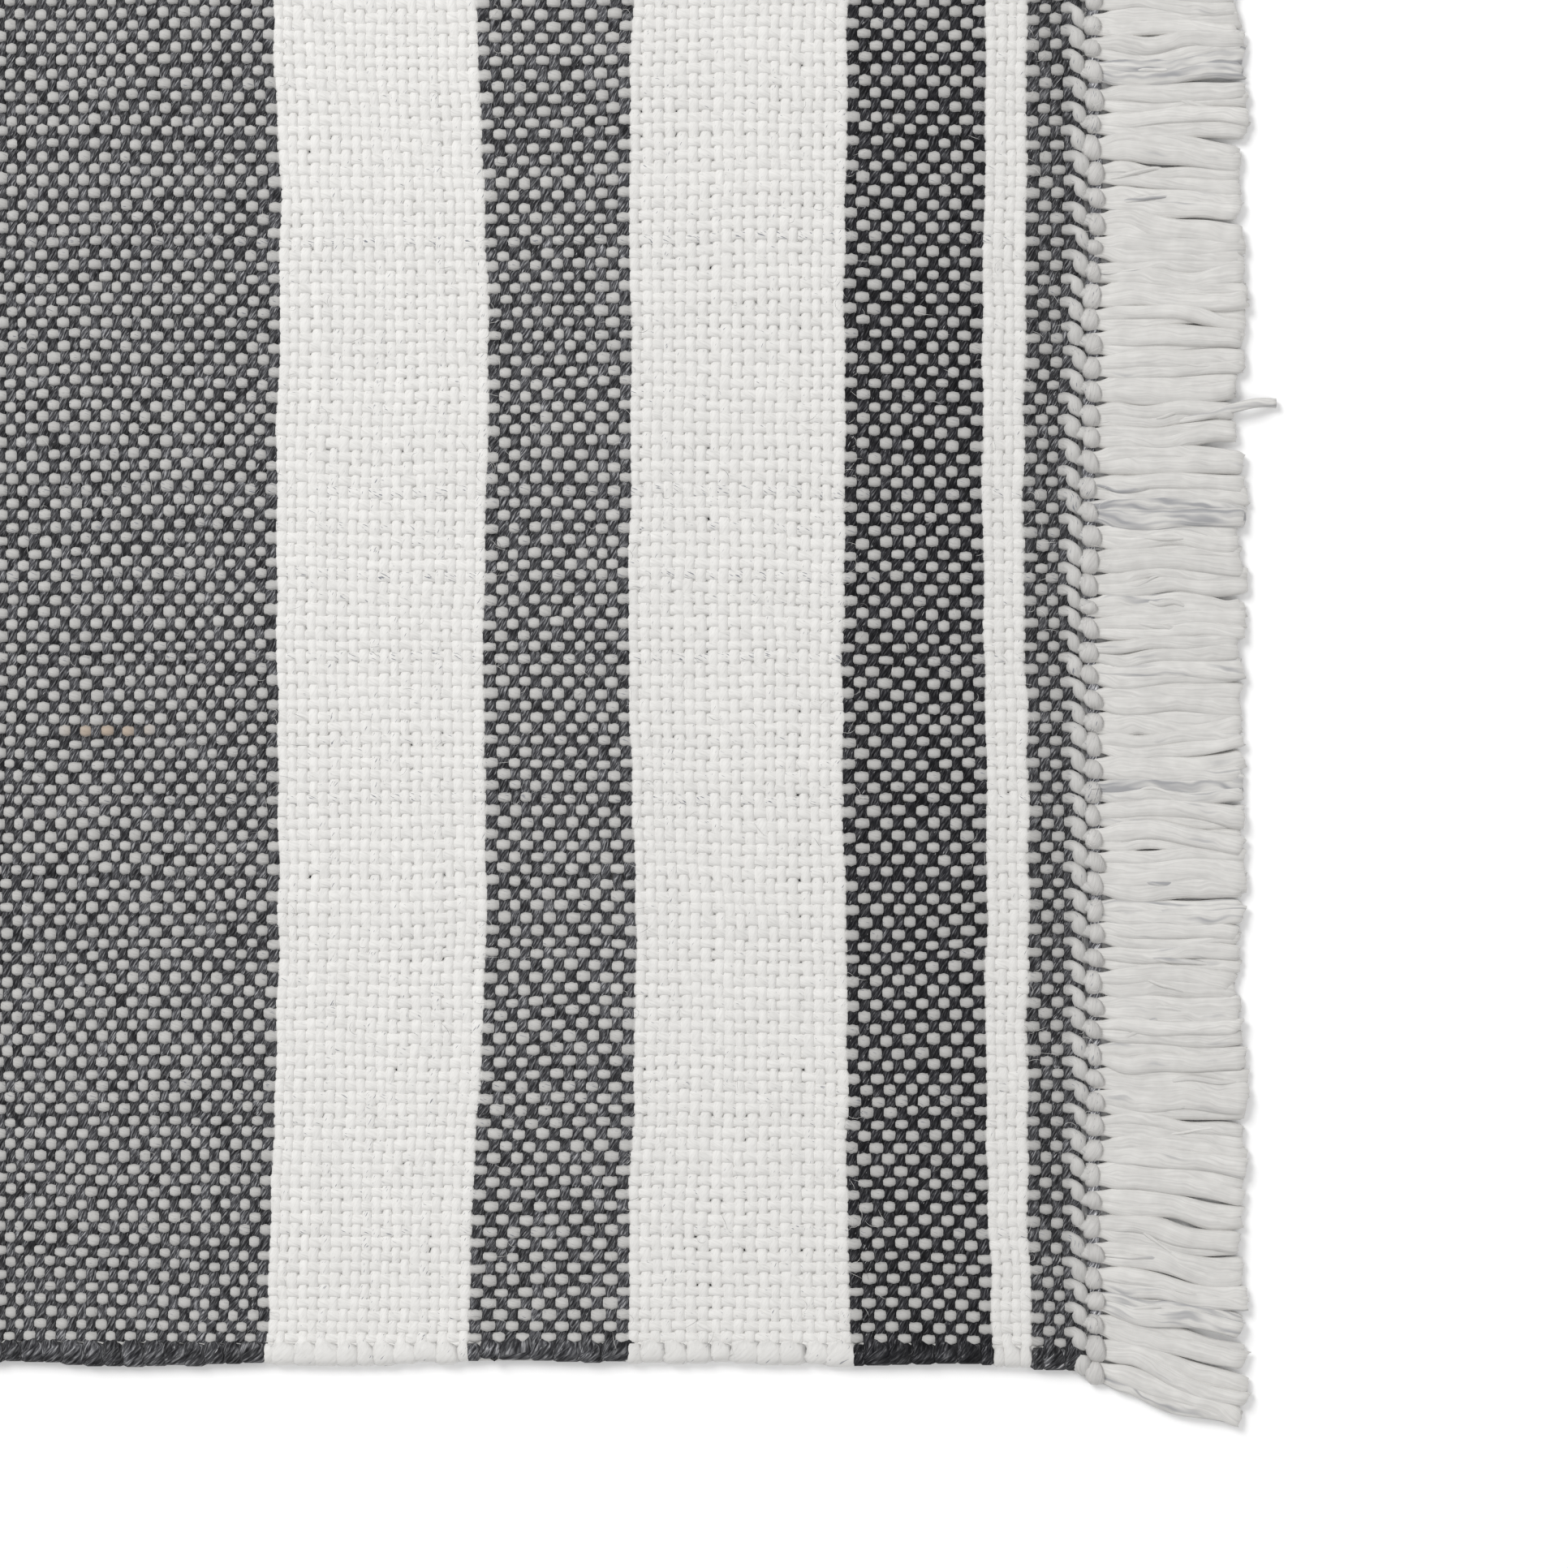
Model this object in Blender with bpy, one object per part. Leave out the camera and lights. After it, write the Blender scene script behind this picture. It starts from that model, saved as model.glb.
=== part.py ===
"""Flat-woven bath mat: grey and white weft bands, two selvedges, and a knotted header and fringe at each end.

X runs along the warp, from fringe tips to fringe tips. Y runs along the weft, from selvedge to selvedge.
Z is up, and the origin is on the floor at the middle of the mat. Sizes are in metres.

The mat is two halves that fold together over an axis across its middle. Each fringe lifts about its header.
Every soft piece is a plain solid of its true outline and thickness.
"""

import math
from collections import namedtuple

import bmesh
import bpy

# Overall sizes
LENGTH = 0.800
WIDTH = 0.500

# Thickness of each kind of piece
CLOTH_THICKNESS = 0.0050
SELVEDGE_THICKNESS = 0.0054
HEADER_THICKNESS = 0.0056
TASSEL_THICKNESS = 0.0046

# Ends of the mat
HEADER_DEPTH = 0.0085
FRINGE_LENGTH = 0.0440
SELVEDGE_WIDTH = 0.0070

# Fringe: the tassels stand side by side, and are joined at their roots into groups
TASSEL_PITCH = 0.00735
TASSEL_GAP = 0.0006
TASSEL_ROOT = 0.0050
TASSEL_TRIM = 0.0026
TASSEL_GROUPS = 16
TIP_POINTS = 5

# The tassels near a corner splay outwards: how far the outermost one has spread at its tip, and the power of
# the way out to the corner with which the spread sets in
CORNER_SPLAY = 0.0160
SPLAY_POWER = 8

# Clearances
NEIGHBOUR_GAP = 0.0003
FOLD_AXIS_RISE = 0.0005

# Weft bands: the centre band fills what the others leave. The lean is how far a band's outer edge has crept
# towards the fringe by the time it reaches the selvedge, and it grows with this power of the way out.
LEAN_POWER = 2.5
EDGE_POINTS = 17
Band = namedtuple("Band", "name width lean material")
CENTRE_LEAN = -0.0050
SIDE_BANDS = (
    Band("white_inner_band", 0.06375, -0.0055, "white_wool"),
    Band("dark_middle_band", 0.04450, 0.0005, "grey_wool"),
    Band("white_outer_band", 0.06550, 0.0035, "white_wool"),
    Band("dark_outer_band", 0.04300, 0.0030, "charcoal_wool"),
    Band("white_edge_stripe", 0.01250, 0.0020, "white_wool"),
    Band("dark_edge_stripe", 0.01700, 0.0015, "grey_wool"),
)

# Colour, roughness and metallic value of each material
FINISHES = {
    "grey_wool": ((0.180, 0.180, 0.187), 0.92, 0.0),
    "charcoal_wool": ((0.125, 0.125, 0.130), 0.92, 0.0),
    "white_wool": ((0.760, 0.750, 0.725), 0.90, 0.0),
    "selvedge_wool": ((0.420, 0.415, 0.405), 0.92, 0.0),
    "header_wool": ((0.560, 0.550, 0.525), 0.92, 0.0),
    "fringe_wool": ((0.650, 0.640, 0.615), 0.88, 0.0),
}

HALF_LENGTH = LENGTH / 2
HALF_WIDTH = WIDTH / 2
ROOT_LINE = HALF_LENGTH - FRINGE_LENGTH
HEADER_END = ROOT_LINE - NEIGHBOUR_GAP
CLOTH_END = HEADER_END - HEADER_DEPTH
CENTRE_HALF = CLOTH_END - sum(band.width for band in SIDE_BANDS)
SELVEDGE_LINE = HALF_WIDTH - SELVEDGE_WIDTH
FOLD_HEIGHT = max(CLOTH_THICKNESS, SELVEDGE_THICKNESS, HEADER_THICKNESS) + FOLD_AXIS_RISE
FRINGE_AXIS_HEIGHT = TASSEL_THICKNESS


def clear_scene():
    for item in list(bpy.data.objects):
        bpy.data.objects.remove(item, do_unlink=True)


def make_material(name):
    colour, roughness, metallic = FINISHES[name]
    material = bpy.data.materials.new(name)
    material.use_nodes = True
    shader = material.node_tree.nodes["Principled BSDF"]
    shader.inputs["Base Color"].default_value = (*colour, 1.0)
    shader.inputs["Roughness"].default_value = roughness
    shader.inputs["Metallic"].default_value = metallic
    return material


def make_axis(name, location, parent=None):
    """An empty on a joint's axis, which the pieces that turn about it are parented to."""
    axis = bpy.data.objects.new(name, None)
    axis.location = location
    if parent is not None:
        axis.parent = parent
        axis.location = [here - there for here, there in zip(location, world_place(parent))]
    bpy.context.scene.collection.objects.link(axis)
    return axis


def world_place(item):
    """An unturned object's place in the world: its own location added to those of its parents."""
    place = [0.0, 0.0, 0.0]
    while item is not None:
        place = [total + step for total, step in zip(place, item.location)]
        item = item.parent
    return place


def make_slab(name, outline, thickness, material, axis=None):
    """A closed flat solid on the floor: an outline of (x, y) points in order, raised by its thickness."""
    origin = world_place(axis)
    form = bmesh.new()
    corners = [form.verts.new((x - origin[0], y - origin[1], -origin[2])) for x, y in outline]
    floor_face = form.faces.new(corners)
    raised = bmesh.ops.extrude_face_region(form, geom=[floor_face])["geom"]
    upper = [part for part in raised if isinstance(part, bmesh.types.BMVert)]
    bmesh.ops.translate(form, verts=upper, vec=(0.0, 0.0, thickness))
    bmesh.ops.recalc_face_normals(form, faces=form.faces)
    mesh = bpy.data.meshes.new(name)
    form.to_mesh(mesh)
    form.free()
    mesh.materials.append(material)
    slab = bpy.data.objects.new(name, mesh)
    slab.parent = axis
    bpy.context.scene.collection.objects.link(slab)
    return slab


def spread(low, high, count):
    return [low + (high - low) * step / (count - 1) for step in range(count)]


def leaning_edge(nominal, lean, low, high):
    """Points of a band edge from y = low to y = high: straight in the middle, leaning at the selvedges."""
    return [
        (nominal + lean * abs(y / HALF_WIDTH) ** LEAN_POWER, y)
        for y in spread(low, high, EDGE_POINTS)
    ]


def between_edges(inner, outer):
    """The closed outline between two edges that both run from low y to high y."""
    return inner + outer[::-1]


def mirrored(outline, side):
    """The outline on the right half (side = 1) or on the left half (side = -1)."""
    return [(side * x, y) for x, y in outline]


def make_half(side, side_name, materials, axis):
    """One half of the cloth: its bands from the middle outwards, its two selvedges and its header."""
    half_gap = NEIGHBOUR_GAP / 2
    reach = SELVEDGE_LINE - half_gap
    centre = Band("dark_centre_band", CENTRE_HALF, CENTRE_LEAN, "grey_wool")
    start = 0.0
    start_lean = 0.0
    for band in (centre,) + SIDE_BANDS:
        end = start + band.width
        inner = leaning_edge(start + half_gap, start_lean, -reach, reach)
        outer = leaning_edge(end - half_gap, band.lean, -reach, reach)
        outline = mirrored(between_edges(inner, outer), side)
        make_slab(f"{band.name}_{side_name}", outline, CLOTH_THICKNESS, materials[band.material], axis)
        start = end
        start_lean = band.lean
    for edge, edge_name in ((-1, "front"), (1, "back")):
        lines = sorted((edge * HALF_WIDTH, edge * (SELVEDGE_LINE + half_gap)))
        inner = leaning_edge(half_gap, 0.0, *lines)
        outer = leaning_edge(CLOTH_END - half_gap, start_lean, *lines)
        outline = mirrored(between_edges(inner, outer), side)
        name = f"selvedge_{edge_name}_{side_name}"
        make_slab(name, outline, SELVEDGE_THICKNESS, materials["selvedge_wool"], axis)
    inner = leaning_edge(CLOTH_END + half_gap, start_lean, -HALF_WIDTH, HALF_WIDTH)
    outer = [(HEADER_END, -HALF_WIDTH), (HEADER_END, HALF_WIDTH)]
    outline = mirrored(between_edges(inner, outer), side)
    make_slab(f"knotted_header_{side_name}", outline, HEADER_THICKNESS, materials["header_wool"], axis)


def tassel_trim(number):
    """How far a tassel's tip falls short of the longest ones: an uneven hand-cut edge, in three waves."""
    wave = math.sin(1.7 * number) + math.sin(0.61 * number + 1.0) + math.sin(2.9 * number + 0.5)
    return TASSEL_TRIM * max(0.0, 0.4 + wave / 5.0)


def splayed(point):
    """A point of the fringe, moved outwards: the more, the nearer it is to a tip and to a corner."""
    x, y = point
    spread_out = CORNER_SPLAY * abs(y / HALF_WIDTH) ** SPLAY_POWER * (x - ROOT_LINE) / FRINGE_LENGTH
    return x, y + math.copysign(spread_out, y)


def tassel_tip(low, high, tip):
    """A tassel's sides and blunt round end, from its root at y = low round to its root at y = high."""
    radius = (high - low) / 2
    middle = (high + low) / 2
    bluntness = 0.6 * radius
    points = [(ROOT_LINE + TASSEL_ROOT, low)]
    for angle in spread(-math.pi / 2, math.pi / 2, TIP_POINTS):
        points.append((tip - bluntness + bluntness * math.cos(angle), middle + radius * math.sin(angle)))
    points.append((ROOT_LINE + TASSEL_ROOT, high))
    return points


def make_fringe(side, side_name, material, axis):
    """A row of tassels in groups, each group's tassels joined along their roots beside the header."""
    count = round(WIDTH / TASSEL_PITCH)
    pitch = WIDTH / count
    trims = [tassel_trim(number) for number in range(count)]
    for group in range(TASSEL_GROUPS):
        first = round(group * count / TASSEL_GROUPS)
        last = round((group + 1) * count / TASSEL_GROUPS)
        low = -HALF_WIDTH + first * pitch + TASSEL_GAP / 2
        high = -HALF_WIDTH + last * pitch - TASSEL_GAP / 2
        outline = [(ROOT_LINE, high), (ROOT_LINE, low)]
        for number in range(first, last):
            tip = HALF_LENGTH - (trims[number] - min(trims))
            tassel_low = -HALF_WIDTH + number * pitch + TASSEL_GAP / 2
            outline += tassel_tip(tassel_low, tassel_low + pitch - TASSEL_GAP, tip)
        outline = mirrored([splayed(point) for point in outline], side)
        make_slab(f"tassels_{side_name}_{group + 1:02d}", outline, TASSEL_THICKNESS, material, axis)


def build():
    clear_scene()
    materials = {name: make_material(name) for name in FINISHES}
    fold_axis = make_axis("fold_axis", (0.0, 0.0, FOLD_HEIGHT))
    for side, side_name, half_axis in ((-1, "left", None), (1, "right", fold_axis)):
        make_half(side, side_name, materials, half_axis)
        place = (side * HEADER_END, 0.0, FRINGE_AXIS_HEIGHT)
        fringe_axis = make_axis(f"fringe_axis_{side_name}", place, half_axis)
        make_fringe(side, side_name, materials["fringe_wool"], fringe_axis)


build()
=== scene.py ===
"""The looks of a hand-woven bath mat: every warp and weft yarn, the turned selvedges, the knotted header
and the soft tassels of both fringes.

X runs along the warp, Y along the weft and Z up, in metres. The cloth is a plain weave: over every crossing
one yarn rides high and the other low, and the next crossing swaps them.
"""

import math
from collections import namedtuple

import bpy
import numpy as np
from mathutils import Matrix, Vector


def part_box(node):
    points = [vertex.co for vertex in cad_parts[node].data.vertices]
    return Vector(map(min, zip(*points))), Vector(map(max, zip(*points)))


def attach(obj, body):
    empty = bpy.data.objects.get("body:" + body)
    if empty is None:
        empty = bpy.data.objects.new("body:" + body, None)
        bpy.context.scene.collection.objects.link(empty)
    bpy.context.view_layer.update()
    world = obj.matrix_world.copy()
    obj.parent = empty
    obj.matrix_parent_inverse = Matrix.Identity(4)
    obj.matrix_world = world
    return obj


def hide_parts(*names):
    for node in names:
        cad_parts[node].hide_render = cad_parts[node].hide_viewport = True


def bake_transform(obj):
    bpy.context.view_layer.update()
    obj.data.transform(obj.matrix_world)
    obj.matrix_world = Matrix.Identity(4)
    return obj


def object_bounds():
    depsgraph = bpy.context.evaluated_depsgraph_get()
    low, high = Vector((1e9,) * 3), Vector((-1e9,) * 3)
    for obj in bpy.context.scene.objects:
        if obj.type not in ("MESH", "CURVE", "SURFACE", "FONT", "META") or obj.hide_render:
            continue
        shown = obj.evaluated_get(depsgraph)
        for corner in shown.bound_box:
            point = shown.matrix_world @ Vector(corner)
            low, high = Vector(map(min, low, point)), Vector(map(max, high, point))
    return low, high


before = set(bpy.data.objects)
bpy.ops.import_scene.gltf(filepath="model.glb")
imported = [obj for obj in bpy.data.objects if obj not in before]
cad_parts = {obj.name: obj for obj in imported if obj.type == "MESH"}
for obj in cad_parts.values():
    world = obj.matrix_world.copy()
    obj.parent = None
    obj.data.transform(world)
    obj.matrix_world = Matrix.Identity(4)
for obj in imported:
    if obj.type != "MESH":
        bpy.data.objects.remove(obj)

CAD_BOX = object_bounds()
MM = 0.001
RNG = np.random.default_rng(68)

# ---- sizes of the cloth

WARPS = 136                 # warp ends, the outer two at each side bundled into a selvedge
EDGE_WARPS = 2
LEAN_POWER = 2.5            # how a band's edge leans out towards the selvedge
# Bands from the middle outwards: CAD name, wefts, lean of the outer edge at the selvedge, wool, and how light
# the weft and the warps look there. The warps are darker in the dark bands, partly from the weft's dark hairs
# that cross them and partly as painted shade, for the light that the dark weft doesn't bounce onto them and
# for the shading of rounder floats
Band = namedtuple("Band", "name wefts lean wool weft_tone warp_tone")
BANDS = (
    Band("dark_centre_band", 31, -5.0 * MM, "grey", 0.93, 0.65),
    Band("white_inner_band", 20, -5.5 * MM, "white", 0.97, 0.97),
    Band("dark_middle_band", 13, 0.5 * MM, "grey", 0.93, 0.67),
    Band("white_outer_band", 19, 3.5 * MM, "white", 0.95, 0.95),
    Band("dark_outer_band", 12, 3.0 * MM, "charcoal", 0.78, 0.60),
    Band("white_edge_stripe", 4, 2.0 * MM, "white", 0.915, 0.915),
    Band("dark_edge_stripe", 5, 1.5 * MM, "grey", 0.76, 0.56),
)
HALF_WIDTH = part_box("selvedge_back_left")[1].y
CLOTH_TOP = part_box("dark_centre_band_left")[1].z
MID_Z = CLOTH_TOP / 2
ROOT_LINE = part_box("tassels_right_08")[0].x
TIP_LINE = CAD_BOX[1].x
WARP_PITCH = 2 * HALF_WIDTH / WARPS

# The weft lies nearly straight, and the warp does most of the bending. The pairs are for a dark band and for
# a white one, whose yarns are fuller and bend less.
WARP_SWING = (1.22 * MM, 0.55 * MM)     # how far a warp's centre rises or dips at a crossing
WEFT_SWING = (0.50 * MM, 0.42 * MM)
WARP_RISE = 1.22 * MM                   # half heights
WEFT_RISE = 1.10 * MM
WARP_SPREAD = (1.74 * MM, 2.20 * MM)    # half widths
WEFT_SPREAD = (1.94 * MM, 1.85 * MM)
SQUEEZE = (1.15, 0.75)                  # share of its height that a warp loses, a pitch from its crossing
NARROWING = 0.42                        # and share of its width
END_SLACK = 2.0 * MM                    # how far the last weft has crept out, the two stripes in proportion
END_DRAW = 1.3 * MM                     # and how far the header's hitches draw it back in

# ---- camera, floor and light

VIEW_WIDTH = 483 * MM
VIEW_CENTRE = (256.5 * MM, -70.25 * MM)
LENS = 100.0
SENSOR = 36.0


def set_camera():
    """A camera that looks straight down on the right front corner, and sees VIEW_WIDTH of the cloth's top."""
    data = bpy.data.cameras.new("overhead_camera")
    data.lens = LENS
    data.sensor_width = SENSOR
    camera = bpy.data.objects.new("overhead_camera", data)
    camera.location = (*VIEW_CENTRE, CLOTH_TOP + VIEW_WIDTH * LENS / SENSOR)
    bpy.context.scene.collection.objects.link(camera)
    bpy.context.scene.camera = camera


def matt_material(name, roughness):
    """A new material with its shader's roughness set: the material and the shader."""
    material = bpy.data.materials.new(name)
    material.use_nodes = True
    shader = material.node_tree.nodes["Principled BSDF"]
    shader.inputs["Roughness"].default_value = roughness
    return material, shader


def set_stage():
    """A pale floor, a white surround, and two large soft lamps, the stronger from the back left."""
    bpy.context.scene.view_settings.view_transform = "Standard"
    world = bpy.data.worlds.new("white_room")
    bpy.context.scene.world = world
    world.use_nodes = True
    background = world.node_tree.nodes["Background"]
    background.inputs["Color"].default_value = (1.0, 1.0, 1.0, 1.0)
    background.inputs["Strength"].default_value = 0.57
    for name, place, size, power in (
        ("key_softbox", (-1.6, 1.9, 2.6), 1.6, 88.0),
        ("fill_softbox", (2.4, -1.4, 2.4), 2.0, 24.0),
    ):
        light = bpy.data.lights.new(name, "AREA")
        light.size = size
        light.energy = power
        lamp = bpy.data.objects.new(name, light)
        lamp.location = place
        lamp.rotation_euler = (-Vector(place)).to_track_quat("-Z", "Y").to_euler()
        bpy.context.scene.collection.objects.link(lamp)
    reach = 20.0
    mesh = bpy.data.meshes.new("pale_floor")
    mesh.from_pydata(
        [(-reach, -reach, 0), (reach, -reach, 0), (reach, reach, 0), (-reach, reach, 0)],
        [],
        [(0, 1, 2, 3)],
    )
    floor = bpy.data.objects.new("pale_floor", mesh)
    bpy.context.scene.collection.objects.link(floor)
    material, shader = matt_material("pale_floor", 0.9)
    shader.inputs["Base Color"].default_value = (0.98, 0.98, 0.98, 1.0)
    mesh.materials.append(material)


# ---- yarn surfaces

FLOOR_GAP = 0.1 * MM
SECTION_6 = np.array(
    [(1.0, 0.0), (0.52, 0.92), (-0.52, 0.92), (-1.0, 0.0), (-0.52, -0.92), (0.52, -0.92)]
)


def round_section(sides, power=2.4):
    """A rounded oblong of unit half width and half height: cosine and sine, each raised to 2 / power."""
    angle = 2 * np.pi * np.arange(sides) / sides
    across, up = np.cos(angle), np.sin(angle)
    return np.stack(
        [
            np.sign(across) * np.abs(across) ** (2 / power),
            np.sign(up) * np.abs(up) ** (2 / power),
        ],
        axis=1,
    )


def unit(vectors):
    """Vectors divided by their lengths."""
    return vectors / np.maximum(np.linalg.norm(vectors, axis=-1, keepdims=True), 1e-12)


def sweep(centres, half_widths, half_heights, section, sideways, swell=None):
    """Points of tubes along paths: centre + side * half width * a + up * half height * b for each section
    point (a, b), where side is the given direction made square to the path, and up is path x side.
    centres is [tubes, rings, 3]; swell scales each point of each ring, [tubes, rings, sides]. A point that
    would sink into the floor is lifted to just above it."""
    along = unit(np.gradient(centres, axis=1))
    hint = np.broadcast_to(np.asarray(sideways, float), centres.shape)
    side = unit(hint - along * np.sum(hint * along, axis=-1, keepdims=True))
    up = np.cross(along, side)
    grow = np.ones(centres.shape[:2] + (len(section),)) if swell is None else swell
    a = section[:, 0] * half_widths[..., None] * grow
    b = section[:, 1] * half_heights[..., None] * grow
    points = centres[:, :, None, :] + side[:, :, None, :] * a[..., None] + up[:, :, None, :] * b[..., None]
    points[..., 2] = np.maximum(points[..., 2], FLOOR_GAP)
    return points


def tube_mesh(name, points, attributes, material, row_rings=None):
    """A mesh of closed tubes from points [tubes, rings, sides, 3]. Each ring joins the next by quads, and
    each end is closed by quads across the ring. The map "Yarn" holds millimetres along and around the yarn,
    and "OFBake" lays the tubes out in rows, one for every row_rings rings."""
    tubes, rings, sides, _ = points.shape
    index = np.arange(tubes * rings * sides).reshape(tubes, rings, sides)
    ahead = np.roll(index, -1, axis=2)
    walls = np.stack([index[:, :-1], ahead[:, :-1], ahead[:, 1:], index[:, 1:]], axis=-1)
    step = np.arange(sides // 2 - 1)
    cap = np.stack([step, step + 1, sides - 2 - step, sides - 1 - step], axis=-1)
    end_cap = index[:, -1][:, cap]
    start_cap = index[:, 0][:, cap[:, ::-1]]
    faces = np.concatenate([walls.reshape(-1, 4), start_cap.reshape(-1, 4), end_cap.reshape(-1, 4)])

    spans = np.linalg.norm(np.diff(points.mean(axis=2), axis=1), axis=-1)
    length = np.concatenate([np.zeros((tubes, 1)), np.cumsum(spans, axis=1)], axis=1) / MM
    girth = np.linalg.norm(np.roll(points, -1, axis=2) - points, axis=-1).sum(axis=2).mean(axis=1) / MM
    # The maps of two tubes, or of two pieces, start far apart, so that they don't show the same fibres
    start = 911.0 * np.arange(tubes) + 37.0 * (sum(map(ord, name)) % 97)
    u = np.broadcast_to((length + start[:, None])[:, :, None], (tubes, rings, sides + 1))
    v = np.broadcast_to(girth[:, None, None] * np.arange(sides + 1) / sides, (tubes, rings, sides + 1))
    grid = np.stack([u, v], axis=-1)
    wall_uv = np.stack([grid[:, :-1, :-1], grid[:, :-1, 1:], grid[:, 1:, 1:], grid[:, 1:, :-1]], axis=-2)
    turn = 2 * np.pi * (np.arange(sides) + 0.5) / sides
    disc = np.stack([np.cos(turn), np.sin(turn)], axis=-1)
    start_uv = disc[cap[:, ::-1]] + np.stack([start, start], axis=-1)[:, None, None, :]
    end_uv = disc[cap] + np.stack([start + length[:, -1], start], axis=-1)[:, None, None, :]
    yarn_uv = np.concatenate([wall_uv.reshape(-1, 2), start_uv.reshape(-1, 2), end_uv.reshape(-1, 2)])

    per_row = row_rings or rings - 1
    rows_each = math.ceil((rings - 1) / per_row)
    rows = tubes * rows_each
    quad = np.arange(rings - 1)
    left = 0.005 + 0.99 * (quad % per_row) / per_row
    right = 0.005 + 0.99 * (quad % per_row + 1) / per_row
    row = np.arange(tubes)[:, None] * rows_each + quad // per_row
    low = (row[:, :, None] + 0.03 + 0.94 * np.arange(sides) / sides) / rows
    high = (row[:, :, None] + 0.03 + 0.94 * (np.arange(sides) + 1) / sides) / rows
    left = np.broadcast_to(left[None, :, None], low.shape)
    right = np.broadcast_to(right[None, :, None], low.shape)
    wall_bake = np.stack(
        [np.stack(c, axis=-1) for c in ((left, low), (left, high), (right, high), (right, low))], axis=-2
    )
    dot = disc * [0.0018, 0.4 / rows]
    middle = (np.arange(tubes) * rows_each + 0.5) / rows
    start_bake = dot[cap[:, ::-1]] + np.stack([np.full(tubes, 0.0025), middle], axis=-1)[:, None, None, :]
    end_middle = (np.arange(tubes) * rows_each + rows_each - 0.5) / rows
    end_bake = dot[cap] + np.stack([np.full(tubes, 0.9975), end_middle], axis=-1)[:, None, None, :]
    bake_uv = np.concatenate([wall_bake.reshape(-1, 2), start_bake.reshape(-1, 2), end_bake.reshape(-1, 2)])
    return quad_mesh(name, points.reshape(-1, 3), faces, {"Yarn": yarn_uv, "OFBake": bake_uv}, {
        key: np.broadcast_to(value, (tubes, rings, sides)).ravel() for key, value in attributes.items()
    }, material)


def quad_mesh(name, points, faces, maps, attributes, material):
    """A smooth mesh object of four-cornered faces, with its UV maps, point attributes and material."""
    mesh = bpy.data.meshes.new(name)
    mesh.vertices.add(len(points))
    mesh.vertices.foreach_set("co", np.ascontiguousarray(points, np.float32).ravel())
    mesh.loops.add(faces.size)
    mesh.loops.foreach_set("vertex_index", faces.astype(np.int32).ravel())
    mesh.polygons.add(len(faces))
    mesh.polygons.foreach_set("loop_start", np.arange(0, faces.size, 4, dtype=np.int32))
    mesh.update(calc_edges=True)
    mesh.polygons.foreach_set("use_smooth", np.ones(len(faces), bool))
    for key, values in maps.items():
        layer = mesh.uv_layers.new(name=key, do_init=False)
        layer.data.foreach_set("uv", np.ascontiguousarray(values, np.float32).ravel())
    mesh.uv_layers["Yarn"].active_render = True
    for key, values in attributes.items():
        mesh.attributes.new(key, "FLOAT", "POINT").data.foreach_set("value", values.astype(np.float32))
    mesh.materials.append(material)
    piece = bpy.data.objects.new(name, mesh)
    bpy.context.scene.collection.objects.link(piece)
    return piece


def waves(x, y, seed, reach, count=9):
    """A smooth random field of x and y, about -1 to 1: the mean of plane waves at random headings, whose
    wavelengths are spread round reach."""
    rng = np.random.default_rng(seed)
    field = np.zeros(np.broadcast(x, y).shape)
    for _ in range(count):
        heading = rng.uniform(0, 2 * np.pi)
        length = reach * rng.uniform(0.6, 1.7)
        phase = rng.uniform(0, 2 * np.pi)
        field = field + np.sin(2 * np.pi * (x * math.cos(heading) + y * math.sin(heading)) / length + phase)
    return field / math.sqrt(count)


# ---- where the yarns cross


def band_edges():
    """X of each band's inner and outer edge at mid width, on the right half, read from the CAD boxes: the
    outer edge is where the next piece starts if the edge leans out, or where the band ends if it leans in.
    The last two stripes are beaten up less tightly, and creep out towards the header."""
    edges = [0.0]
    names = [band.name for band in BANDS] + ["knotted_header"]
    for band, following in zip(BANDS, names[1:]):
        own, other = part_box(f"{band.name}_right"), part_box(f"{following}_right")
        edges.append(other[0].x if band.lean > 0 else own[1].x)
    loose = edges[-3]
    return [x + END_SLACK * max(0.0, x - loose) / (edges[-1] - loose) for x in edges]


def lay_wefts():
    """X at mid width, lean at the selvedge and band number of each weft, from left to right."""
    edges = band_edges()
    leans = [0.0] + [band.lean for band in BANDS]
    place, lean, band_of = [], [], []
    for number, band in enumerate(BANDS):
        share = (np.arange(band.wefts) + 0.5) / band.wefts
        place.append(edges[number] + share * (edges[number + 1] - edges[number]))
        lean.append(leans[number] + share * (leans[number + 1] - leans[number]))
        band_of.append(np.full(band.wefts, number))
    place, lean, band_of = map(np.concatenate, (place, lean, band_of))
    return (
        np.concatenate([-place[::-1], place]),
        np.concatenate([-lean[::-1], lean]),
        np.concatenate([band_of[::-1], band_of]),
    )


WEFT_X, WEFT_LEAN, WEFT_BAND = lay_wefts()
WEFTS = len(WEFT_X)
WARP_Y = -HALF_WIDTH + WARP_PITCH * (np.arange(WARPS) + 0.5)


def blurred(values, axis):
    """Values averaged with their neighbours along an axis, a quarter, a half and a quarter."""
    padded = np.pad(values, [(1, 1) if a == axis else (0, 0) for a in range(values.ndim)], mode="edge")
    length = values.shape[axis]
    before, here, after = (np.take(padded, np.arange(length) + s, axis=axis) for s in (0, 1, 2))
    return before / 4 + here / 2 + after / 4


def flare(x):
    """How much wider each side of the cloth has grown towards its ends, by a high power of the way there."""
    return 2.6 * MM * np.abs(x / ROOT_LINE) ** 7


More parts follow.
